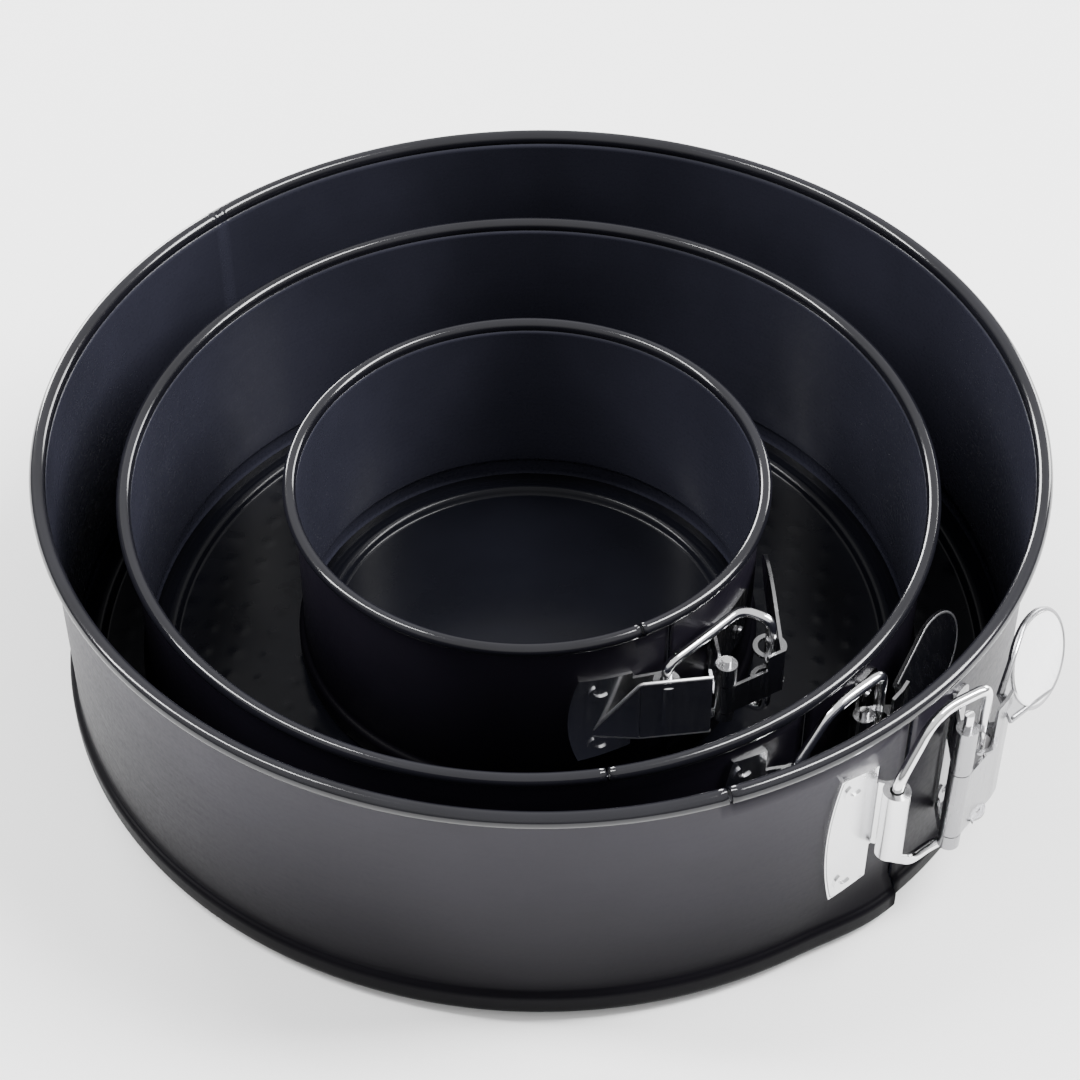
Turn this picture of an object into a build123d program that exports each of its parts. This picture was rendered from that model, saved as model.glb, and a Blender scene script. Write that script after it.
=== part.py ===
from build123d import *
import math
import os

# Nested set of three springform pans, each with an over-centre wire latch.
# Frame: large pan axis = Z through the origin, z = 0 under its base, its latch towards +X.

SHEET = 0.6            # steel of bands and bases
FITTING = 0.8          # steel of latch plates and levers
WIRE = 1.3             # radius of the bail wire
EAR_UP = 3.0           # upper ear above the lever's barrel
PIN = 1.1              # radius of the hinge pin
PLAY = 0.3             # running clearance

BEAD_OUT = 1.6         # how far the bottom bead stands out of the wall
BEAD_LOW = 0.9         # underside of the bead lip above the base's foot
BEAD_TOP = 8.2         # where wall and bead meet
FLANGE_Z = 1.8         # underside of the base's edge flange
STEP_IN = 5.0          # flange width inside the wall

LAP_END = -2.2         # angle where the outer lap stops
BACK_GAP = 0.12        # half gap (degrees) between the two halves at the back

CATCH_R = 3.2          # outer radius of the catch knuckle
HINGE_R = 2.6          # outer radius of the hinge knuckles
GUARD_LOW = 10.0       # reach of the small latch's guard below and above the latch
GUARD_HIGH = 8.5
HOOK_HOLE = 2.9        # hole for the bail hook in the lever's ears

PANS = {
    "large": dict(
        centre=(0, 0), foot=0.0, turn=0.0, rim_r=120.0, rim_z=70.2, rim_wire=1.3, split=True,
        rim_seam=-26.0, latch_z=40.5, leg_up=26.5, leg_low=22.0, catch_half=10.5,
        plate_mid=-2.5, plate_half=20.5, plate_from=-12.5, plate_to=-6.6, back_to=8.8,
        hinge_low=19.5, hinge_high=20.0, middle_low=15.0, middle_high=6.0,
        catch=(5.0, -5.6), hinge=(8.5, 2.7), hook=(-0.8, 7.8), knee=(0.9, 14.1), under=(4.8, 1.4),
        arm_in=13.5, arm=33.0, tab_half=10.0, tab_up=14.5, pin_up=4.6, bail_rise=2.0,
        tab_tilt=0.55, neck=(-3.5, 5.0), guard=False,
    ),
    "medium": dict(
        centre=(-1.3, -2.9), foot=1.0, turn=-3.0, rim_r=98.0, rim_z=58.6, rim_wire=1.1, split=False,
        rim_seam=-32.0, latch_z=33.5, leg_up=23.5, leg_low=19.0, catch_half=9.0,
        plate_mid=-1.5, plate_half=19.0, plate_from=-15.0, plate_to=-8.6, back_to=14.0,
        hinge_low=16.5, hinge_high=16.5, middle_low=12.5, middle_high=4.5,
        catch=(5.0, -5.8), hinge=(7.4, 5.0), hook=(-1.4, 7.8), knee=(1.0, 13.2), under=(5.2, 3.5),
        arm_in=13.5, arm=31.5, tab_half=8.5, tab_up=10.0, pin_up=1.6, bail_rise=2.0,
        tab_tilt=0.4, neck=(-3.0, 6.0), guard=False,
    ),
    "small": dict(
        centre=(-2.2, -2.5), foot=2.0, turn=-7.5, rim_r=58.0, rim_z=56.4, rim_wire=1.0, split=False,
        rim_seam=-11.0, latch_z=34.0, leg_up=14.0, leg_low=17.0, catch_half=6.5,
        plate_mid=-4.0, plate_half=14.0, plate_from=-27.0, plate_to=-12.0, back_to=30.0,
        hinge_low=9.5, hinge_high=8.3, middle_low=6.5, middle_high=2.3,
        catch=(4.9, -5.5), hinge=(10.9, 6.3), hook=(1.2, 13.8), knee=(5.6, 13.8), under=(5.6, 16.5),
        arm_in=50.0, arm=36.0, tab_half=8.0, tab_up=1.5, pin_up=1.4, bail_rise=5.0,
        tab_tilt=0.05, neck=(-5.0, 5.0), guard=True,
    ),
}


def polar(radius, degrees, z=0.0):
    angle = math.radians(degrees)
    return Vector(radius * math.cos(angle), radius * math.sin(angle), z)


def wall_radius(pan):
    return pan["rim_r"] - pan["rim_wire"]


def upright(points, thickness):
    """Sheet section in the XZ plane, centred on the given (r, z) points."""
    return Plane.XZ * trace(Polyline(*points), thickness)


def sector(face, start, end):
    return revolve(Rot(Z=start) * face, Axis.Z, end - start)


def sheet_wall(points, thickness, low, high):
    """Vertical sheet standing on a line in plan, from z = low to z = high."""
    flat = trace(Polyline(*[(p.X, p.Y) for p in points]), thickness)
    return Pos(Z=low) * extrude(flat, high - low)


def wrapped(outline, radius, angle, thickness):
    """Outline drawn on the wall at an angle, cut from a curved sheet lying on that radius."""
    spot = polar(radius, angle)
    plane = Plane(origin=spot, x_dir=polar(1, angle + 90), z_dir=polar(1, angle))
    tool = extrude(plane * outline, 12, both=True)
    tube = Cylinder(radius + thickness, 200) - Cylinder(radius, 200)
    return tube & tool


def barrel(spot, outer, bore, low, high):
    tall = high - low
    ring = Cylinder(outer, tall) - Cylinder(bore, tall)
    return Pos(spot.X, spot.Y, (low + high) / 2) * ring


def rim_face(pan, solid):
    wire = pan["rim_wire"]
    ring = Circle(wire) if solid else Circle(wire + SHEET) - Circle(wire)
    return Plane.XZ * (Pos(pan["rim_r"], pan["rim_z"] - pan["foot"]) * ring)


def wall_points(pan, top):
    mid = wall_radius(pan) - SHEET / 2
    return [
        (mid, top),
        (mid, BEAD_TOP),
        (mid + BEAD_OUT, BEAD_TOP - 1.0),
        (mid + BEAD_OUT, BEAD_LOW + 1.7),
        (mid + BEAD_OUT - 0.9, BEAD_LOW + SHEET / 2),
        (mid - 0.3, BEAD_LOW + SHEET / 2),
    ]


def back_gap(pan):
    return BACK_GAP if pan["split"] else 0.0


def seam_gap(pan):
    """Angle between the two rim ends, 0.8 mm wide at any size."""
    return math.degrees(0.8 / pan["rim_r"])


def band_left(pan):
    top = pan["rim_z"] - pan["foot"]
    back = -180 + back_gap(pan)
    seam = pan["rim_seam"]
    full = upright(wall_points(pan, top), SHEET)
    low = upright(wall_points(pan, top - pan["rim_wire"] - SHEET - 0.5), SHEET)
    band = sector(full, back, seam) + sector(low, seam, LAP_END)
    return band + sector(rim_face(pan, False), back, seam)


def band_right(pan):
    top = pan["rim_z"] - pan["foot"]
    back = 180 - back_gap(pan)
    start = pan["rim_seam"] + seam_gap(pan)
    joint = LAP_END + 0.8
    mid = wall_radius(pan) - SHEET / 2
    inner = mid - SHEET - PLAY
    low = BEAD_TOP + 1.2
    lap = upright([(inner, low), (inner, top - 0.6), (mid, top)], SHEET)
    step = Rectangle(mid - inner + SHEET, top - low)
    joggle = Plane.XZ * (Pos((inner + mid) / 2, (top + low) / 2) * step)
    band = sector(upright(wall_points(pan, top), SHEET), joint, back)
    band += sector(lap, start, joint + 0.2)
    band += sector(joggle, joint, joint + 0.6)
    return band + sector(rim_face(pan, False), start, back)


def band(pan):
    return band_left(pan) + band_right(pan)


def wire_left(pan):
    return sector(rim_face(pan, True), -180 + back_gap(pan), pan["rim_seam"])


def wire_right(pan):
    return sector(rim_face(pan, True), pan["rim_seam"] + seam_gap(pan), 180 - back_gap(pan))


def rim_wire(pan):
    return wire_left(pan) + wire_right(pan)


def base(pan):
    edge = wall_radius(pan) + BEAD_OUT - SHEET - 2 * PLAY - 0.1
    floor = wall_radius(pan) - STEP_IN
    points = [
        (0, SHEET / 2),
        (floor - 1.2, SHEET / 2),
        (floor, FLANGE_Z + SHEET / 2),
        (edge, FLANGE_Z + SHEET / 2),
    ]
    return revolve(upright(points, SHEET), Axis.Z, 360)


def spots(pan):
    """Plan positions of the catch axis, the lever axis, the hook and the lever's knee."""
    wall = wall_radius(pan)
    catch = polar(wall + pan["catch"][0], pan["catch"][1])
    hinge = polar(wall + pan["hinge"][0], pan["hinge"][1])
    out = polar(1, pan["hinge"][1])
    along = polar(1, pan["hinge"][1] + 90)
    hook = hinge + out * pan["hook"][0] + along * pan["hook"][1]
    knee = hinge + out * pan["knee"][0] + along * pan["knee"][1]
    arm = polar(1, pan["hinge"][1] + 90 + pan["arm_in"])
    return catch, hinge, hook, knee, arm


def clinches(pan, angle, heights):
    """Raised crescents where a plate is clinched through the band."""
    radius = wall_radius(pan) + FITTING
    mark = Circle(2.4) - Pos(0.9, 0.9) * Circle(2.2)
    return [Pos(Z=z) * wrapped(mark, radius, angle, 0.45) for z in heights]


def catch_plate(pan):
    wall = wall_radius(pan)
    z = pan["latch_z"] - pan["foot"]
    catch = spots(pan)[0]
    half = pan["plate_half"]
    grip = pan["catch_half"]
    middle = z + pan["plate_mid"]
    centre = (pan["plate_from"] + pan["plate_to"]) / 2
    wide = math.radians(pan["plate_to"] - pan["plate_from"]) * wall / 2
    left = -wide + 1.6
    edge = Polyline((left, -half), (wide, -half + 1.5), (wide, half - 1.5), (left, half))
    bow = ThreePointArc((left, half), (-wide - 1.0, 0), (left, -half))
    plate = Pos(Z=middle) * wrapped(make_face(edge + bow), wall, centre, FITTING)
    tongue = [
        polar(wall + FITTING / 2, centre),
        polar(wall + FITTING / 2, pan["plate_to"] + 0.4),
        polar(catch.length - CATCH_R + FITTING / 2, pan["catch"][1]),
    ]
    plate += sheet_wall(tongue, FITTING, z - grip, z + grip)
    plate += barrel(catch, CATCH_R, WIRE + PLAY, z - grip, z + grip)
    if pan["guard"]:
        plate += guard(pan)
    plate -= Cylinder(wall, 300)
    plate -= Pos(catch.X, catch.Y, z) * Cylinder(WIRE + PLAY, 2 * grip)
    for mark in clinches(pan, centre - math.degrees(1.2 / wall), (middle - half + 5, middle + half - 5)):
        plate += mark
    return plate


def guard(pan):
    """Stiff sheet in front of the small latch: a flap off the wall, then straight past the catch."""
    z = pan["latch_z"] - pan["foot"]
    wall = wall_radius(pan)
    catch, hinge = spots(pan)[:2]
    foot = polar(wall + 0.4, -21.5)
    fold = polar(wall + 4.9, -12.0)
    face = polar(catch.length + CATCH_R - FITTING / 2, pan["catch"][1])
    end = face + (face - fold).normalized() * 9.3
    sheet = sheet_wall([fold, face, end], FITTING, z - GUARD_LOW, z + GUARD_HIGH)
    run = (fold - foot).normalized()
    side = Plane(origin=foot, x_dir=run, z_dir=run.cross(Vector(0, 0, 1)))
    reach = (fold - foot).length
    low = z - GUARD_LOW
    flap = Polyline((0, low), (reach, low), (reach, z + GUARD_HIGH), (0, low + 2.0), close=True)
    return sheet + extrude(side * make_face(flap), FITTING / 2, both=True)


def lever_top(pan):
    return pan["hinge_high"] - 1.2


def ear_z(pan):
    return min(pan["middle_high"] + EAR_UP, lever_top(pan))


def bail(pan):
    z = pan["latch_z"] - pan["foot"]
    catch, hinge, hook, knee, arm = spots(pan)
    grip = pan["catch_half"] + 2.0
    rise_z = pan["catch_half"] + pan["bail_rise"]
    under = polar(wall_radius(pan) + pan["under"][0], pan["under"][1])
    rise = catch + (under - catch) * 0.6
    low = pan["leg_low"]
    high = pan["leg_up"]
    path = Polyline(
        hook + Vector(0, 0, -pan["middle_low"] + 2.0),
        hook + Vector(0, 0, -low),
        under + Vector(0, 0, -low),
        rise + Vector(0, 0, -low + 0.5),
        catch + Vector(0, 0, -grip),
        catch + Vector(0, 0, rise_z),
        rise + Vector(0, 0, high - 1.2),
        under + Vector(0, 0, high),
        hook + Vector(0, 0, high),
        hook + Vector(0, 0, ear_z(pan) - 2.6),
    )
    start = Plane(origin=path @ 0, z_dir=path % 0)
    return Pos(Z=z) * sweep(start * Circle(WIRE), path, transition=Transition.ROUND)


def hinge_plate(pan):
    wall = wall_radius(pan)
    z = pan["latch_z"] - pan["foot"]
    hinge = spots(pan)[1]
    start = pan["hinge"][1] + math.degrees(5.5 / wall)
    centre = (start + pan["back_to"]) / 2
    wide = math.radians(pan["back_to"] - start) * wall / 2
    low = -pan["hinge_low"]
    high = pan["hinge_high"]
    outline = fillet(Rectangle(2 * wide, high - low - 1.0).vertices(), 3.0)
    plate = Pos(Z=z + (low + high) / 2) * wrapped(outline, wall, centre, FITTING)
    foot = pan["hinge"][1] + math.degrees(6.5 / wall)
    web = [
        polar(hinge.length - HINGE_R + FITTING / 2, pan["hinge"][1]),
        polar(wall + FITTING / 2, foot),
    ]
    for start_z, end_z in ((pan["middle_high"] + PLAY, high), (low, -pan["middle_low"] - PLAY)):
        plate += sheet_wall(web, FITTING, z + start_z, z + end_z)
        plate += barrel(hinge, HINGE_R, PIN, z + start_z, z + end_z)
        plate -= Pos(hinge.X, hinge.Y, z + (start_z + end_z) / 2) * Cylinder(PIN, end_z - start_z)
    plate -= Cylinder(wall, 300)
    for mark in clinches(pan, pan["back_to"] - math.degrees(5 / wall), (z + low + 6, z + high - 6)):
        plate += mark
    return plate


def hinge_pin(pan):
    hinge = spots(pan)[1]
    low = -pan["hinge_low"] - 0.4
    high = pan["hinge_high"] + pan["pin_up"]
    z = pan["latch_z"] - pan["foot"] + (low + high) / 2
    return Pos(hinge.X, hinge.Y, z) * Cylinder(PIN, high - low)


def lever(pan):
    z = pan["latch_z"] - pan["foot"]
    catch, hinge, hook, knee, arm = spots(pan)
    low = -pan["middle_low"]
    high = pan["middle_high"]
    ear = ear_z(pan)
    top = lever_top(pan)
    run = (knee - hinge).normalized()
    outward = Vector(run.Y, -run.X, 0)
    flare = Vector(arm.Y, -arm.X, 0)
    foot = hinge + outward * (HINGE_R - FITTING / 2)
    bend = knee + arm * 3.0
    shape = barrel(hinge, HINGE_R, PIN + PLAY, low, high)
    shape += sheet_wall([foot, knee, bend], FITTING, low, high)
    shape += sheet_wall([foot + (knee - foot) * 0.7, knee, bend], FITTING, low, top)
    corners = [
        hook - run * 3 + outward * 4,
        foot + (knee - foot) * 0.68,
        knee,
        bend,
        hook - outward * 4.5 + run,
    ]
    flat = [(p.X, p.Y) for p in corners]
    plan = Pos(hook.X, hook.Y) * Circle(4.1) + make_face(Polyline(*flat, close=True))
    plan -= Pos(hook.X, hook.Y) * Circle(HOOK_HOLE)
    for floor in (ear - FITTING, low):
        shape += Pos(Z=floor) * extrude(plan, FITTING)
    up = Vector(0, 0, 1)
    normal = flare + up * pan["tab_tilt"]
    side = Plane(origin=knee + up * pan["tab_up"], x_dir=arm, z_dir=normal.normalized())
    long = (pan["arm"] - 4.5) / 2
    middle = pan["arm"] - long
    half = pan["tab_half"]
    outline = Pos(middle) * Ellipse(long, half)
    low_neck, high_neck = pan["neck"]
    neck = Polyline((0, low_neck), (0, high_neck), (middle, half), (middle, -half), close=True)
    outline += make_face(neck)
    shape += extrude(side * outline, FITTING / 2, both=True)
    shape -= Pos(hinge.X, hinge.Y, (low + high) / 2) * Cylinder(PIN + PLAY, high - low)
    return Pos(Z=z) * shape


FITTINGS = {
    "base": base,
    "catch_plate": catch_plate,
    "bail": bail,
    "hinge_plate": hinge_plate,
    "hinge_pin": hinge_pin,
    "lever": lever,
}
SPLIT_BAND = {
    "band_left": band_left,
    "band_right": band_right,
    "rim_wire_left": wire_left,
    "rim_wire_right": wire_right,
}
WHOLE_BAND = {
    "band": band,
    "rim_wire": rim_wire,
}


def place(pan, shape):
    x, y = pan["centre"]
    return Pos(x, y, pan["foot"]) * Rot(Z=pan["turn"]) * shape


os.makedirs("parts", exist_ok=True)
count = 0
for size, pan in PANS.items():
    makers = FITTINGS | (SPLIT_BAND if pan["split"] else WHOLE_BAND)
    for name, make in makers.items():
        node = size + "_" + name
        shape = place(pan, make(pan))
        export_step(shape, "parts/" + node + ".step")
        count += 1
        if len(shape.solids()) != 1:
            print(node, "has", len(shape.solids()), "solids")
print("written", count, "nodes")
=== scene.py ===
import math
import bpy
from mathutils import Matrix, Vector


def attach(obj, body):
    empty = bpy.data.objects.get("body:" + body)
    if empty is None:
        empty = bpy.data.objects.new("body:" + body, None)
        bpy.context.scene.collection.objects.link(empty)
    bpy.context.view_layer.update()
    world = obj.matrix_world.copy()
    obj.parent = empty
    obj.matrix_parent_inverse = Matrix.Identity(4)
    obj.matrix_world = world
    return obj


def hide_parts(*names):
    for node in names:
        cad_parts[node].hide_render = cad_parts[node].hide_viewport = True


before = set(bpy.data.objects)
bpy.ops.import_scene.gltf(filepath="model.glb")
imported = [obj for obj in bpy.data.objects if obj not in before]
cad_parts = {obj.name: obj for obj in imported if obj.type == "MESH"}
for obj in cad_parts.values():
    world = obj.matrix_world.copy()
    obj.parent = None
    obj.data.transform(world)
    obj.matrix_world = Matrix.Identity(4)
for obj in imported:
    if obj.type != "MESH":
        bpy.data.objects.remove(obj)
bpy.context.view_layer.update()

# ---------------------------------------------------------------- bands and bases, in metres
# Angles are in degrees, counted from the latch side (+X) of a pan. Heights are above its own foot.
MM = 0.001
SHEET = 0.6 * MM                   # steel of bands and bases
STEPS_ROUND = 320                  # segments in a full turn of a band

BEAD_OUT = 1.6 * MM                # how far the bottom bead stands out of the wall
BEAD_LOW = 0.9 * MM                # underside of the bead
BEAD_TOP = 8.2 * MM                # where wall and bead meet
BEAD_ROUND = 0.9 * MM
WALL_START = BEAD_TOP + 4 * MM     # from here up the wall is divided evenly
WALL_ROWS = 8

RIM_FOOT = 0.9 * MM                # the rolled rim starts this far below the wire's centre
RIM_CLOSES = -118                  # angle round the wire where the roll ends
RIM_GAP = 0.8 * MM                 # between the two rim ends

LAP_END = -2.2                     # angle where the outer lap stops
JOINT = LAP_END + 0.8              # angle where the other end of the band starts
LAP_PLAY = 0.3 * MM                # between the outer and the inner lap
LAP_FOOT = BEAD_TOP + 1.2 * MM     # lower edge of the inner lap
LAP_BELOW_RIM = 1.1 * MM           # the outer lap stops this far under the rim wire
LAP_ROWS = 9
FLARE = 2.0 * MM                   # how far the outer lap's bead stands off at its free end
FLARE_START = -15.0                # angle where it starts to stand off
FLARE_LENGTH = 11.0                # angle over which it reaches all of FLARE
FLARE_FADE = 5 * MM                # height over the bead in which it fades out

FLANGE_Z = 1.8 * MM                # underside of the base's edge flange
STEP_IN = 5.0 * MM                 # flange width inside the wall
BASE_PLAY = 0.7 * MM               # between the base's edge and the bead
STEP_RUN = 1.2 * MM                # width of the step from floor to flange
STEP_ROUND = 0.8 * MM
PLAIN_EDGE = 6 * MM                # width inside the step that is drawn without rings
BUMP_FADE = 4 * MM                 # bumps run this far into the plain edge
RING_WIDTH = 1.05 * MM             # between the rings of a bumpy floor's mesh
BUMP_TURN = 49.7                   # the bumps' grid is turned by this angle
BUMP_PITCH = 8.2 * MM
BUMP_RADIUS = 0.26                 # share of the pitch
BUMP_HIGH = 0.25 * MM

# ---------------------------------------------------------------- pans and latches, in millimetres
# catch, hinge and under: distance outside the wall and angle.
# hook and knee: distance out from the hinge and along the wall.
WIRE_R = 1.3                       # bail wire
WIRE_BEND = 3.2                    # radius of the bail's corners
EDGE_R = 0.5                       # rounded edge of the catch plate
HEM_R = 0.46                       # rounded edge of the small latch's guard
EDGE_BEND = 0.8                    # radius of the corners of such edges

PANS = {
    "large": dict(
        centre=(0, 0), foot=0.0, turn=0.0, rim_r=120.0, rim_z=70.2, wire=1.3, seam=-26.0, bumps=True,
        bodies=("large_ring_left", "large_ring_right"), nodes=("large_band_left", "large_band_right"),
        latch_z=40.5, leg_up=26.5, leg_low=22.0, catch_half=10.5, middle_low=15.0, ear=9.0,
        catch=(5.0, -5.6), hinge=(8.5, 2.7), hook=(-0.8, 7.8), under=(4.8, 1.4), bail_rise=2.0,
    ),
    "medium": dict(
        centre=(-1.3, -2.9), foot=1.0, turn=-3.0, rim_r=98.0, rim_z=58.6, wire=1.1, seam=-32.0, bumps=True,
        bodies=("medium_ring", "medium_ring"), nodes=("medium_band", "medium_band"),
        latch_z=33.5, leg_up=23.5, leg_low=19.0, catch_half=9.0, middle_low=12.5, ear=7.5,
        catch=(5.0, -5.8), hinge=(7.4, 5.0), hook=(-1.4, 7.8), under=(5.2, 3.5), bail_rise=2.0,
    ),
    "small": dict(
        centre=(-2.2, -2.5), foot=2.0, turn=-7.5, rim_r=58.0, rim_z=56.4, wire=1.0, seam=-11.0, bumps=False,
        bodies=("small_ring", "small_ring"), nodes=("small_band", "small_band"),
        latch_z=34.0, leg_up=14.0, leg_low=17.0, catch_half=6.5, middle_low=6.5, ear=5.3,
        catch=(4.9, -5.5), hinge=(10.9, 6.3), hook=(1.2, 13.8), under=(5.6, 16.5), bail_rise=5.0,
    ),
}

TABS = {
    "large": dict(
        knee=(0.9, 14.1), arm_in=13.5, arm=33.0, half=10.0, up=14.5, tilt=0.55, neck=(-3.5, 5.0),
        edge_r=0.7, edge_lift=0.2,
    ),
    "medium": dict(
        knee=(1.0, 13.2), arm_in=13.5, arm=31.5, half=8.5, up=10.0, tilt=0.4, neck=(-3.0, 6.0),
        edge_r=0.5, edge_lift=0.0,
    ),
}
TAB_NECK = 4.5                     # length of the arm that isn't part of the tab's oval
NECK_START = 1.0
DISH_MARGIN = 0.9                  # between the dish and the tab's outline
DISH_MIDDLE = 0.42                 # height of the dish's middle over the tab's centre plane
DISH_DEEP = 0.40                   # the dish's rim is this much higher

GUARD = dict(foot=(0.4, -21.5), fold=(4.9, -12.0), face=2.8, end=9.3, low=10.0, high=8.5, foot_up=2.2)
CATCH_PLATE = dict(
    middle=-2.5, half=20.5, start=-12.5, end=-6.6,
    left_in=1.6, bow=2.6, bow_steps=12, right_in=1.0, right_low=1.5, lift=0.35, bend=0.6,
)


# ---------------------------------------------------------------- materials
class Nodes:
    """Short way to add and link the nodes of a material or a world."""

    def __init__(self, owner):
        owner.use_nodes = True
        self.owner = owner
        self.tree = owner.node_tree

    def add(self, kind, **values):
        node = self.tree.nodes.new(kind)
        for key, value in values.items():
            setattr(node, key, value)
        return node

    def fill(self, node, **values):
        for key, value in values.items():
            node.inputs[key.replace("_", " ")].default_value = value

    def link(self, out, into):
        self.tree.links.new(out, into)

    def place(self, stretch):
        coords = self.add("ShaderNodeTexCoord")
        mapping = self.add("ShaderNodeMapping")
        self.fill(mapping, Scale=stretch)
        self.link(coords.outputs["Object"], mapping.inputs["Vector"])
        return mapping.outputs["Vector"]

    def height(self, space):
        coords = self.add("ShaderNodeTexCoord")
        split = self.add("ShaderNodeSeparateXYZ")
        self.link(coords.outputs[space], split.inputs[0])
        return split.outputs["Z"]

    def noise(self, scale, detail, stretch=(1, 1, 1), rough=0.5):
        node = self.add("ShaderNodeTexNoise")
        self.fill(node, Scale=scale, Detail=detail, Roughness=rough)
        self.link(self.place(stretch), node.inputs["Vector"])
        return node.outputs["Fac"]

    def ramp(self, value, source, target):
        """The value carried over from one range to another, clamped at both ends."""
        node = self.add("ShaderNodeMapRange")
        self.fill(node, From_Min=source[0], From_Max=source[1], To_Min=target[0], To_Max=target[1])
        self.link(value, node.inputs["Value"])
        return node.outputs["Result"]

    def colours(self, value, a, b):
        node = self.add("ShaderNodeMix", data_type="RGBA")
        self.fill(node, A=(*a, 1), B=(*b, 1))
        self.link(value, node.inputs["Factor"])
        return node.outputs["Result"]


class Finish(Nodes):
    """A new material with its principled shader."""

    def __init__(self, name):
        super().__init__(bpy.data.materials.new(name))
        self.shader = self.tree.nodes["Principled BSDF"]

    def feed(self, value, socket):
        self.link(value, self.shader.inputs[socket])

    def bump(self, value, strength, distance):
        node = self.add("ShaderNodeBump")
        self.fill(node, Strength=strength, Distance=distance)
        self.link(value, node.inputs["Height"])
        self.feed(node.outputs["Normal"], "Normal")


def coating(name, dark, light, rough, ior, peel, foot=1.0):
    """Non-stick coat: faint orange peel, cloudy tone and roughness, a few fine rub marks.

    foot below 1 paints shade on the coat: darker and duller towards the bottom of the wall.
    """
    coat = Finish(name)
    cloud = coat.noise(scale=28, detail=5)
    tone = coat.colours(coat.ramp(cloud, (0.35, 0.65), (0, 1)), dark, light)
    # painted shade: with foot below 1 the tone is scaled down towards the bottom of the wall, and the
    # specular is lowered there too
    if foot < 1:
        height = coat.height("Object")
        shade = coat.add("ShaderNodeVectorMath", operation="SCALE")
        coat.link(tone, shade.inputs[0])
        coat.link(coat.ramp(height, (4 * MM, 60 * MM), (foot, 1)), shade.inputs["Scale"])
        tone = shade.outputs[0]
        coat.feed(coat.ramp(height, (4 * MM, 66 * MM), (0.10, 0.5)), "Specular IOR Level")
    coat.feed(tone, "Base Color")
    fine = coat.noise(scale=900, detail=3)
    rub = coat.noise(scale=60, detail=6, stretch=(1, 1, 14), rough=0.7)
    mixed = coat.add("ShaderNodeMath", operation="MULTIPLY")
    coat.link(fine, mixed.inputs[0])
    coat.link(rub, mixed.inputs[1])
    coat.feed(coat.ramp(mixed.outputs[0], (0.12, 0.4), rough), "Roughness")
    coat.fill(coat.shader, IOR=ior)
    coat.bump(fine, strength=peel, distance=0.06 * MM)
    return coat.owner


def steel(name, tone, rough, stretch=(1, 1, 1)):
    """Bright steel with faint handling marks. A stretch below 1 draws fine lines along that axis."""
    metal = Finish(name)
    marks = metal.noise(scale=40, detail=5)
    shade = tuple(c * 0.88 for c in tone)
    metal.feed(metal.colours(metal.ramp(marks, (0.3, 0.7), (0, 1)), shade, tone), "Base Color")
    lines = metal.noise(scale=700, detail=3, stretch=stretch, rough=0.6)
    metal.feed(metal.ramp(lines, (0.3, 0.7), rough), "Roughness")
    metal.fill(metal.shader, Metallic=1.0)
    metal.bump(lines, strength=0.12, distance=0.04 * MM)
    return metal.owner


# foot=0.10 gives the outside coat painted shade towards the bottom of the wall
OUTSIDE = coating("coating_outside", dark=(0.0125, 0.0108, 0.0175), light=(0.0165, 0.0145, 0.0225),
                  rough=(0.34, 0.44), ior=1.28, peel=0.25, foot=0.10)
INSIDE = coating("coating_inside", dark=(0.0165, 0.017, 0.0255), light=(0.0215, 0.022, 0.033),
                 rough=(0.24, 0.34), ior=1.32, peel=0.12)
FLOOR_COAT = coating("coating_base", dark=(0.0038, 0.0040, 0.0060), light=(0.0054, 0.0057, 0.0086),
                     rough=(0.16, 0.24), ior=1.22, peel=0.10)
RIM = coating("coating_rim", dark=(0.005, 0.005, 0.007), light=(0.008, 0.008, 0.011),
              rough=(0.10, 0.15), ior=1.50, peel=0.05)
# painted shade: a dark steel for the rounded edges of the catch plate and the large lever's tab, standing
# in for the dark they reflect
PAINTED_SHADE_EDGE = steel("edge_steel_painted_shade", tone=(0.30, 0.30, 0.31), rough=(0.25, 0.35))
PLATE = steel("latch_plate_steel", tone=(0.90, 0.90, 0.91), rough=(0.16, 0.27), stretch=(1, 1, 0.06))
# painted shade: a darker copy of the latch steel for the levers and hinge plates; the large tab's dish
# keeps the bright plate steel
PAINTED_SHADE_LEVER = steel("latch_lever_steel_painted_shade", tone=(0.34, 0.34, 0.35), rough=(0.20, 0.30), stretch=(1, 1, 0.06))
WIRE = steel("latch_wire_steel", tone=(0.86, 0.86, 0.87), rough=(0.10, 0.18), stretch=(1, 1, 0.1))
HEM = steel("hem_steel", tone=(0.93, 0.93, 0.935), rough=(0.42, 0.52))
DARK_WIRE = steel("rim_wire_steel", tone=(0.50, 0.50, 0.51), rough=(0.3, 0.4))
COATS = [OUTSIDE, INSIDE]          # a sheet section's side flags choose from these


# ---------------------------------------------------------------- meshes
def new_piece(name, verts, faces, mats, face_mats=None, flat=()):
    """Mesh object with smooth faces, but for the flat ones. face_mats choose from mats."""
    mesh = bpy.data.meshes.new(name)
    mesh.from_pydata(verts, [], faces)
    for mat in mats:
        mesh.materials.append(mat)
    if face_mats:
        mesh.polygons.foreach_set("material_index", face_mats)
    flat = set(flat)
    mesh.polygons.foreach_set("use_smooth", [i not in flat for i in range(len(faces))])
    mesh.validate()
    mesh.update()
    piece = bpy.data.objects.new(name, mesh)
    bpy.context.scene.collection.objects.link(piece)
    return piece


def strip(near, far, around):
    """Quads between two rings of points, given by the number of each ring's first point."""
    quads = []
    for k in range(around):
        m = (k + 1) % around
        quads.append((near + k, far + k, far + m, near + m))
    return quads


def fan(centre, ring, around):
    return [(centre, ring + k, ring + (k + 1) % around) for k in range(around)]


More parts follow.
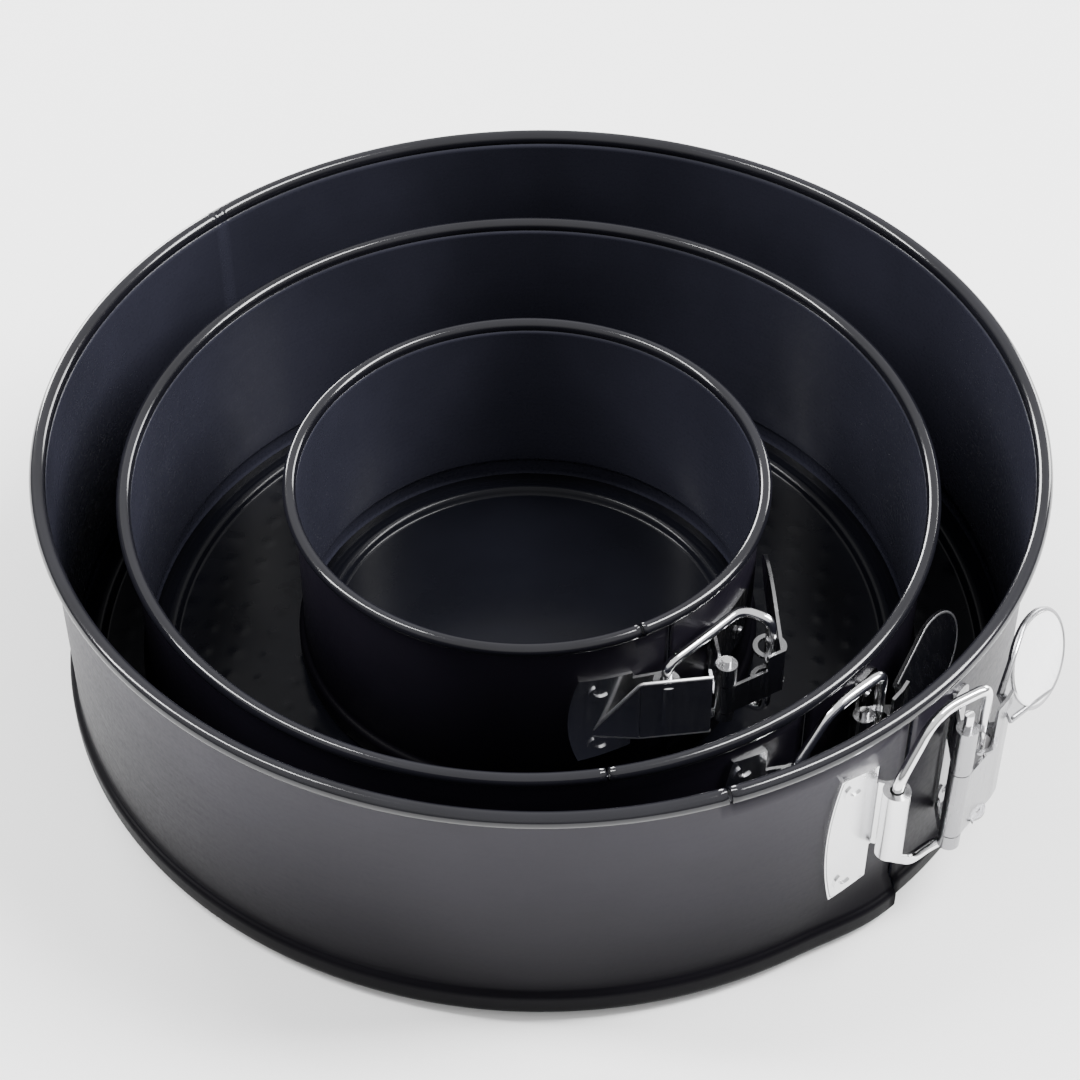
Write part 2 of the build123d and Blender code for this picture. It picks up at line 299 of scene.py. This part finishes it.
def rounded(points, radius, share=0.45, count=5):
    """The same open path with bent corners. A bend takes up at most a share of the sides next to it."""
    out = [tuple(points[0])]
    for i in range(1, len(points) - 1):
        before, corner, after = (Vector(points[j]) for j in (i - 1, i, i + 1))
        back, ahead = before - corner, after - corner
        reach = min(radius, back.length * share, ahead.length * share)
        start, end = corner + back.normalized() * reach, corner + ahead.normalized() * reach
        for k in range(count + 1):
            t = k / count
            out.append(tuple(start * (1 - t) ** 2 + corner * 2 * t * (1 - t) + end * t ** 2))
    out.append(tuple(points[-1]))
    return out


def offset(path, distance):
    """The path moved sideways by a distance, to its left."""
    out = []
    for i, p in enumerate(path):
        before = Vector(path[max(i - 1, 0)])
        after = Vector(path[min(i + 1, len(path) - 1)])
        way = (after - before).normalized()
        out.append((p[0] - way.y * distance, p[1] + way.x * distance))
    return out


def thicken(path):
    """Closed section of a sheet along a path: its left side out, its right side back. 1 marks the left."""
    left = offset(path, SHEET / 2)
    right = offset(path, -SHEET / 2)
    return left + right[::-1], [1] * len(left) + [0] * len(right)


def place(pan, x, y, z):
    """From metres on the pan's own axis and foot to the frame."""
    a = math.radians(pan["turn"])
    cx, cy = pan["centre"]
    return (cx * MM + x * math.cos(a) - y * math.sin(a),
            cy * MM + x * math.sin(a) + y * math.cos(a),
            z + pan["foot"] * MM)


def ease(x):
    x = min(max(x, 0.0), 1.0)
    return x * x * (3 - 2 * x)


# ---------------------------------------------------------------- bands
def wall_radius(pan):
    return (pan["rim_r"] - pan["wire"]) * MM


def wall_middle(pan):
    """Radius of the middle of the wall's sheet."""
    return wall_radius(pan) - SHEET / 2


def rim_height(pan):
    """Height of the rim wire's centre."""
    return (pan["rim_z"] - pan["foot"]) * MM


def bead_path(pan):
    """Middle line of the bottom bead and the start of the wall."""
    mid = wall_middle(pan)
    return rounded([
        (mid - 0.3 * MM, BEAD_LOW + SHEET / 2),
        (mid + BEAD_OUT - 0.9 * MM, BEAD_LOW + SHEET / 2),
        (mid + BEAD_OUT, BEAD_LOW + 1.7 * MM),
        (mid + BEAD_OUT, BEAD_TOP - 1.0 * MM),
        (mid, BEAD_TOP),
        (mid, WALL_START),
    ], BEAD_ROUND)


def band_section(pan):
    """Section of the band up to the rolled rim. Also the row where the outer lap stops."""
    path = bead_path(pan)
    mid = wall_middle(pan)
    lap_top = rim_height(pan) - pan["wire"] * MM - LAP_BELOW_RIM
    for i in range(1, WALL_ROWS + 1):
        path.append((mid, WALL_START + (lap_top - WALL_START) * i / WALL_ROWS))
    lap_row = len(path) - 1
    path.append((mid, rim_height(pan) - RIM_FOOT))
    return *thicken(path), lap_row


def rim_section(pan):
    """Section of the rolled rim: a short foot on the wall, then round the wire."""
    mid, top = wall_middle(pan), rim_height(pan)
    radius = pan["wire"] * MM + SHEET / 2
    path = [(mid, top - RIM_FOOT), (mid, top - RIM_FOOT / 2)]
    steps = 26
    for i in range(steps + 1):
        a = math.radians(180 + (RIM_CLOSES - 180) * i / steps)
        path.append((pan["rim_r"] * MM + radius * math.cos(a), top + radius * math.sin(a)))
    section, sides = thicken(path)
    return section, [0] * len(sides)


def lap_section(pan):
    """Section of the inner lap: a flat strip inside the outer one, stepping out to carry the rim."""
    mid, top = wall_middle(pan), rim_height(pan)
    inner = mid - SHEET - LAP_PLAY
    path = [(inner, LAP_FOOT + (top - LAP_FOOT) * i / LAP_ROWS) for i in range(LAP_ROWS)]
    path += [
        (inner, top - 3.2 * MM),
        (inner + 0.1 * MM, top - 2.2 * MM),
        (mid - 0.1 * MM, top - 0.8 * MM),
    ]
    return thicken(path)


def lap_flare(degrees, z):
    """The outer lap's bead stands off the inner one towards the lap's free end."""
    if degrees > LAP_END + 0.01:
        return 0.0
    along = ease((degrees - FLARE_START) / FLARE_LENGTH)
    up = 1.0 - ease((z - BEAD_TOP) / FLARE_FADE)
    return FLARE * along * up


def spin(name, pan, section, sides, mats, start, end, flare=None, cut=None):
    """Closed section turned about the pan's axis from one angle to another, with flat ends.

    flare gives how far a point moves out, from its angle and height.
    cut = (angle, row): past that angle the sheet ends at that row of its path.
    """
    steps = max(2, round(abs(end - start) / 360 * STEPS_ROUND))
    angles = [start + (end - start) * i / steps for i in range(steps + 1)]
    count = len(section)
    half = count // 2
    cut_angle, cut_row = cut or (end, half - 1)
    if cut:
        nearest = min(range(1, steps), key=lambda i: abs(angles[i] - cut_angle))
        angles[nearest] = cut_angle
    verts, faces, face_mats, flat = [], [], [], []

    def cap(ring, first, last):
        for k in range(first, last):
            flat.append(len(faces))
            faces.append((ring + k, ring + k + 1, ring + count - 2 - k, ring + count - 1 - k))
            face_mats.append(sides[k])

    for degrees in angles:
        a = math.radians(degrees)
        for r, z in section:
            out = r + (flare(degrees, z) if flare else 0)
            verts.append(place(pan, out * math.cos(a), out * math.sin(a), z))
    for i in range(steps):
        near, far = i * count, (i + 1) * count
        shortened = cut and i >= nearest
        quads = strip(near, far, count)
        for k in range(count):
            if shortened and cut_row <= k < count - 1 - cut_row:
                continue
            faces.append(quads[k])
            face_mats.append(sides[k])
        if shortened:
            left, right = cut_row, count - 1 - cut_row
            faces.append((near + left, far + left, far + right, near + right))
            face_mats.append(sides[left])
    cap(0, 0, half - 1)
    cap(steps * count, 0, cut_row)
    if cut:
        cap(nearest * count, cut_row, half - 1)
    return new_piece(name, verts, faces, mats, face_mats, flat)


def make_band(size, pan):
    """Wall with its bead, inner lap and rolled rim. A band of two bodies is parted at the back."""
    seam = pan["seam"]
    rim_start = seam + math.degrees(RIM_GAP / (pan["rim_r"] * MM))
    split = pan["bodies"][0] != pan["bodies"][1]
    back = -180 if split else JOINT - 360
    wall, wall_sides, lap_row = band_section(pan)
    lap, lap_sides = lap_section(pan)
    rim, rim_sides = rim_section(pan)

    def wall_piece(name, start, end, flare=None, cut=None):
        return spin(size + name, pan, wall, wall_sides, COATS, start, end, flare, cut)

    def rim_piece(name, start, end):
        return spin(size + name, pan, rim, rim_sides, [RIM], start, end)

    pieces = [
        (wall_piece("_wall_outer", back, LAP_END, lap_flare, (seam, lap_row)), 0),
        (spin(size + "_wall_lap", pan, lap, lap_sides, COATS, rim_start, JOINT), 1),
    ]
    if split:
        pieces.append((wall_piece("_wall_inner", JOINT, 180), 1))
        pieces.append((rim_piece("_rim_left", -180, seam), 0))
        pieces.append((rim_piece("_rim_right", rim_start, 180), 1))
    else:
        pieces.append((rim_piece("_rim", rim_start - 360, seam), 0))
    for piece, side in pieces:
        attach(piece, pan["bodies"][side])
        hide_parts(pan["nodes"][side])


# ---------------------------------------------------------------- bases
def bump_height(x, y):
    """Low round bumps on a square grid, turned a little from the latch."""
    a = math.radians(BUMP_TURN)
    u = (x * math.cos(a) - y * math.sin(a)) / BUMP_PITCH
    v = (x * math.sin(a) + y * math.cos(a)) / BUMP_PITCH
    du, dv = u - round(u), v - round(v)
    r = math.sqrt(du * du + dv * dv)
    if r >= BUMP_RADIUS:
        return 0.0
    return BUMP_HIGH * (0.5 + 0.5 * math.cos(math.pi * r / BUMP_RADIUS))


def base_path(pan, rings):
    """Middle line of the base's sheet: rings over the floor, then the step and the flange."""
    floor = wall_radius(pan) - STEP_IN
    edge = wall_radius(pan) + BEAD_OUT - SHEET - BASE_PLAY
    plain = floor - PLAIN_EDGE
    hub = 0.02
    path = [(plain * (hub + (1 - hub) * i / rings), SHEET / 2) for i in range(rings)]
    return path + rounded([
        (plain, SHEET / 2),
        (floor - STEP_RUN, SHEET / 2),
        (floor, FLANGE_Z + SHEET / 2),
        (edge, FLANGE_Z + SHEET / 2),
    ], STEP_ROUND)


def make_base(size, pan):
    plain = wall_radius(pan) - STEP_IN - PLAIN_EDGE
    if pan["bumps"]:
        rings, around, bumps_end = round(plain / RING_WIDTH), 400, plain + BUMP_FADE
    else:
        rings, around, bumps_end = 30, 256, 0.0
    path = base_path(pan, rings)
    verts, faces = [], []
    for side in (0.5, -0.5):
        line = offset(path, SHEET * side)
        first = len(verts)
        for r, z in line:
            for k in range(around):
                a = 2 * math.pi * k / around
                x, y = r * math.cos(a), r * math.sin(a)
                rise = bump_height(x, y) if r < bumps_end else 0.0
                verts.append(place(pan, x, y, z + rise))
        sheet = []
        for i in range(len(line) - 1):
            sheet += strip(first + i * around, first + (i + 1) * around, around)
        centre = len(verts)
        verts.append(place(pan, 0, 0, SHEET / 2 + SHEET * side))
        sheet += fan(centre, first, around)
        faces += sheet if side > 0 else [face[::-1] for face in sheet]
    upper_edge = (len(path) - 1) * around
    lower_edge = upper_edge + len(path) * around + 1
    faces += strip(upper_edge, lower_edge, around)
    piece = new_piece(size + "_floor", verts, faces, [FLOOR_COAT])
    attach(piece, size + "_base")
    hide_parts(size + "_base")


# ---------------------------------------------------------------- latches, in millimetres
def polar(radius, degrees):
    a = math.radians(degrees)
    return Vector((radius * math.cos(a), radius * math.sin(a), 0))


def off_wall(pan, out, degrees):
    """Point this far outside the wall, at an angle."""
    return polar(pan["rim_r"] - pan["wire"] + out, degrees)


def from_hinge(pan, out, along):
    """Point this far from the lever's hinge, out from the wall and along it."""
    degrees = pan["hinge"][1]
    return off_wall(pan, *pan["hinge"]) + polar(1, degrees) * out + polar(1, degrees + 90) * along


def latch_height(pan):
    return pan["latch_z"] - pan["foot"]


def spot(pan, p, z):
    """Point in the frame, from millimetres on the pan's own axis and foot."""
    return Vector(place(pan, p.x * MM, p.y * MM, z * MM))


def tube(name, points, radius, bend, mat, around=20):
    """Round wire along a path with bent corners and rounded-off ends. Radius and bend in millimetres."""
    radius = radius * MM
    path = [Vector(p) for p in rounded(points, bend * MM, 0.48, 8)]
    last = len(path) - 1
    ways = [(path[min(i + 1, last)] - path[max(i - 1, 0)]).normalized() for i in range(last + 1)]
    tip_out, tip_size = radius * 0.35, 0.72
    rings = [(path[0] - ways[0] * tip_out, tip_size, ways[0])]
    rings += [(p, 1.0, way) for p, way in zip(path, ways)]
    rings.append((path[-1] + ways[-1] * tip_out, tip_size, ways[-1]))
    side = ways[0].orthogonal().normalized()
    verts, faces = [], []
    for middle, scale, way in rings:
        side = (side - way * side.dot(way)).normalized()
        other = way.cross(side)
        for k in range(around):
            a = 2 * math.pi * k / around
            verts.append(tuple(middle + (side * math.cos(a) + other * math.sin(a)) * radius * scale))
    for i in range(len(rings) - 1):
        faces += [(a, d, c, b) for a, b, c, d in strip(i * around, (i + 1) * around, around)]
    first_tip = range(around)
    last_tip = range((len(rings) - 1) * around, len(rings) * around)
    faces += [tuple(first_tip)[::-1], tuple(last_tip)]
    return new_piece(name, verts, faces, [mat])


def make_bail(size, pan):
    """Bent wire: from the lever's lower ear through the catch knuckle and back to the upper ear."""
    catch = off_wall(pan, *pan["catch"])
    under = off_wall(pan, *pan["under"])
    hook = from_hinge(pan, *pan["hook"])
    rise = catch + (under - catch) * 0.6
    low, high = -pan["leg_low"], pan["leg_up"]
    path = [
        (hook, -pan["middle_low"] + 2.0),
        (hook, low),
        (under, low),
        (rise, low + 0.5),
        (catch, -pan["catch_half"] - 2.0),
        (catch, pan["catch_half"] + pan["bail_rise"]),
        (rise, high - 1.2),
        (under, high),
        (hook, high),
        (hook, pan["ear"] - 2.6),
    ]
    spots = [spot(pan, p, latch_height(pan) + z) for p, z in path]
    piece = tube(size + "_wire", spots, WIRE_R, WIRE_BEND, WIRE)
    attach(piece, size + "_bail")
    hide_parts(size + "_bail")


def make_guard_hems(size, pan, guard):
    """Bright rounded edges along the guard of the small latch."""
    foot = off_wall(pan, *guard["foot"])
    fold = off_wall(pan, *guard["fold"])
    face = off_wall(pan, pan["catch"][0] + guard["face"], pan["catch"][1])
    end = face + (face - fold).normalized() * guard["end"]
    low = latch_height(pan) - guard["low"]
    high = latch_height(pan) + guard["high"]
    edges = {
        "top": [(foot, low + guard["foot_up"]), (fold, high), (end, high)],
        "bottom": [(foot, low), (fold, low), (end, low)],
    }
    for name, path in edges.items():
        spots = [spot(pan, p, z) for p, z in path]
        piece = tube(size + "_guard_hem_" + name, spots, HEM_R, EDGE_BEND, HEM, 12)
        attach(piece, pan["bodies"][0])


def make_dish(name, tab_spot, middle, long, wide, mat):
    """Shallow oval dish, closed by a flat underside."""
    rings, around = 16, 64
    verts = [tuple(tab_spot(middle, 0, DISH_MIDDLE))]
    levels = [(i / rings, DISH_MIDDLE + DISH_DEEP * (i / rings) ** 3) for i in range(1, rings + 1)]
    levels.append((1.0, 0.0))
    for out, level in levels:
        for k in range(around):
            a = 2 * math.pi * k / around
            u, v = long * out * math.cos(a), wide * out * math.sin(a)
            verts.append(tuple(tab_spot(middle + u, v, level)))
    faces = fan(0, 1, around)
    for i in range(rings):
        faces += strip(1 + i * around, 1 + (i + 1) * around, around)
    underside = range(1 + rings * around, len(verts))
    faces.append(tuple(underside)[::-1])
    return new_piece(name, verts, faces, [mat], flat=[len(faces) - 1])


def make_tab(size, pan, tab, edge_mat, dished):
    """Rounded edge round the lever's thumb tab, and a shallow dish on its outer face."""
    knee = from_hinge(pan, *tab["knee"])
    base = knee + Vector((0, 0, latch_height(pan) + tab["up"]))
    arm = polar(1, pan["hinge"][1] + 90 + tab["arm_in"])
    normal = (Vector((arm.y, -arm.x, 0)) + Vector((0, 0, 1)) * tab["tilt"]).normalized()
    rise = normal.cross(arm)
    long = (tab["arm"] - TAB_NECK) / 2
    middle = tab["arm"] - long
    radius = tab["edge_r"]

    def tab_spot(u, v, w):
        """u along the arm, v up the tab, w out of its face."""
        p = base + arm * u + rise * v + normal * w
        return spot(pan, p, p.z)

    low_neck, high_neck = tab["neck"]
    outline = [(NECK_START, high_neck - radius)]
    steps = 24
    for i in range(steps + 1):
        a = math.radians(90 - 180 * i / steps)
        outline.append((middle + (long - radius) * math.cos(a), (tab["half"] - radius) * math.sin(a)))
    outline.append((NECK_START, low_neck + radius))
    spots = [tab_spot(u, v, tab["edge_lift"]) for u, v in outline]
    pieces = [tube(size + "_tab_edge", spots, radius, EDGE_BEND, edge_mat, 12)]
    if dished:
        wide = tab["half"] - DISH_MARGIN
        # the dish is in the bright plate steel, lighter than the lever's painted-shade steel
        pieces.append(make_dish(size + "_tab_dish", tab_spot, middle, long - DISH_MARGIN, wide, PLATE))
    for piece in pieces:
        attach(piece, size + "_lever")


def make_plate_edge(size, pan, plate):
    """Rounded edge round the free sides of the catch plate, lying on the wall. Its dark steel is painted
    shade.
    """
    wall = pan["rim_r"] - pan["wire"]
    wide = math.radians(plate["end"] - plate["start"]) * wall / 2
    left, high = -wide + plate["left_in"] + EDGE_R, plate["half"] - EDGE_R
    right, right_high = wide - plate["right_in"], high - plate["right_low"]
    outline = [(right, right_high), (left, high)]
    for i in range(1, plate["bow_steps"]):
        t = 2 * i / plate["bow_steps"] - 1
        outline.append((left - plate["bow"] * (1 - t * t), -high * t))
    outline += [(left, -high), (right, -right_high)]
    centre = (plate["start"] + plate["end"]) / 2
    spots = []
    for x, y in outline:
        p = off_wall(pan, plate["lift"], centre + math.degrees(math.asin(x / wall)))
        spots.append(spot(pan, p, latch_height(pan) + plate["middle"] + y))
    piece = tube(size + "_plate_edge", spots, EDGE_R, plate["bend"], PAINTED_SHADE_EDGE, 10)
    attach(piece, pan["bodies"][0])


for size, pan in PANS.items():
    make_band(size, pan)
    make_base(size, pan)
    make_bail(size, pan)
make_guard_hems("small", PANS["small"], GUARD)
# the large tab's edge gets the dark painted-shade steel
make_tab("large", PANS["large"], TABS["large"], PAINTED_SHADE_EDGE, dished=True)
make_tab("medium", PANS["medium"], TABS["medium"], HEM, dished=False)
make_plate_edge("large", PANS["large"], CATCH_PLATE)


# ---------------------------------------------------------------- CAD nodes that stay
def node_finish(name):
    if name.endswith("hinge_pin"):
        return WIRE
    if "rim_wire" in name:
        return DARK_WIRE
    # levers and hinge plates take the darker steel copy as painted shade
    if name.endswith(("lever", "hinge_plate")):
        return PAINTED_SHADE_LEVER
    return PLATE


for name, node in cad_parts.items():
    node.data.materials.clear()
    node.data.materials.append(node_finish(name))


# ---------------------------------------------------------------- stage, light, camera
CAMERA_AZIMUTH = 45.0
CAMERA_ELEVATION = 46.41
CAMERA_DISTANCE = 0.6888
SENSOR = 36
FOCAL_LENGTH = 88.59
FRAME_SHIFT = (-0.0009259259, 0.08888889)   # of the picture's width


def make_ground():
    paper = Finish("stage_floor")
    tone = paper.noise(scale=3, detail=2)
    paper.feed(paper.colours(tone, (0.93, 0.93, 0.93), (0.96, 0.96, 0.96)), "Base Color")
    paper.fill(paper.shader, Roughness=0.9)
    bpy.ops.mesh.primitive_plane_add(size=30, location=(0, 0, -0.5 * MM))
    ground = bpy.context.object
    ground.name = "ground"
    ground.data.materials.append(paper.owner)


def make_world():
    """White surroundings, dim at the horizon and brighter overhead."""
    world = bpy.data.worlds.new("studio")
    sky = Nodes(world)
    backdrop = sky.tree.nodes["Background"]
    sky.fill(backdrop, Color=(1, 1, 1, 1))
    sky.link(sky.ramp(sky.height("Generated"), (0.0, 0.55), (0.16, 1.15)), backdrop.inputs["Strength"])
    bpy.context.scene.world = world


def aim(thing, where):
    """Put a lamp or camera in its place, facing the origin."""
    thing.location = where
    thing.rotation_euler = (-where).to_track_quat("-Z", "Y").to_euler()
    bpy.context.scene.collection.objects.link(thing)


def softbox(name, azimuth, elevation, distance, width, height, power):
    """Rectangular light aimed at the pans. Azimuth is counted from the camera, to its right."""
    a = math.radians(azimuth + CAMERA_AZIMUTH)
    e = math.radians(elevation)
    where = Vector((math.sin(a) * math.cos(e), -math.cos(a) * math.cos(e), math.sin(e))) * distance
    light = bpy.data.lights.new(name, "AREA")
    light.shape = "RECTANGLE"
    light.size, light.size_y, light.energy = width, height, power
    aim(bpy.data.objects.new(name, light), where)


def make_camera():
    e = math.radians(CAMERA_ELEVATION)
    where = Vector((0, -math.cos(e) * CAMERA_DISTANCE, math.sin(e) * CAMERA_DISTANCE))
    lens = bpy.data.cameras.new("camera")
    lens.sensor_width = SENSOR
    lens.lens = FOCAL_LENGTH
    lens.shift_x, lens.shift_y = FRAME_SHIFT
    lens.clip_start = 0.01
    camera = bpy.data.objects.new("camera", lens)
    aim(camera, Matrix.Rotation(math.radians(CAMERA_AZIMUTH), 3, "Z") @ where)
    bpy.context.scene.camera = camera


make_ground()
make_world()
softbox("key_left", azimuth=-95, elevation=50, distance=1.4, width=0.13, height=1.1, power=26)
softbox("fill_right", azimuth=95, elevation=50, distance=1.4, width=0.32, height=1.1, power=50)
softbox("back_left", azimuth=-150, elevation=14, distance=1.5, width=0.6, height=0.5, power=30)
softbox("back_right", azimuth=135, elevation=14, distance=1.5, width=0.5, height=0.5, power=16)
make_camera()
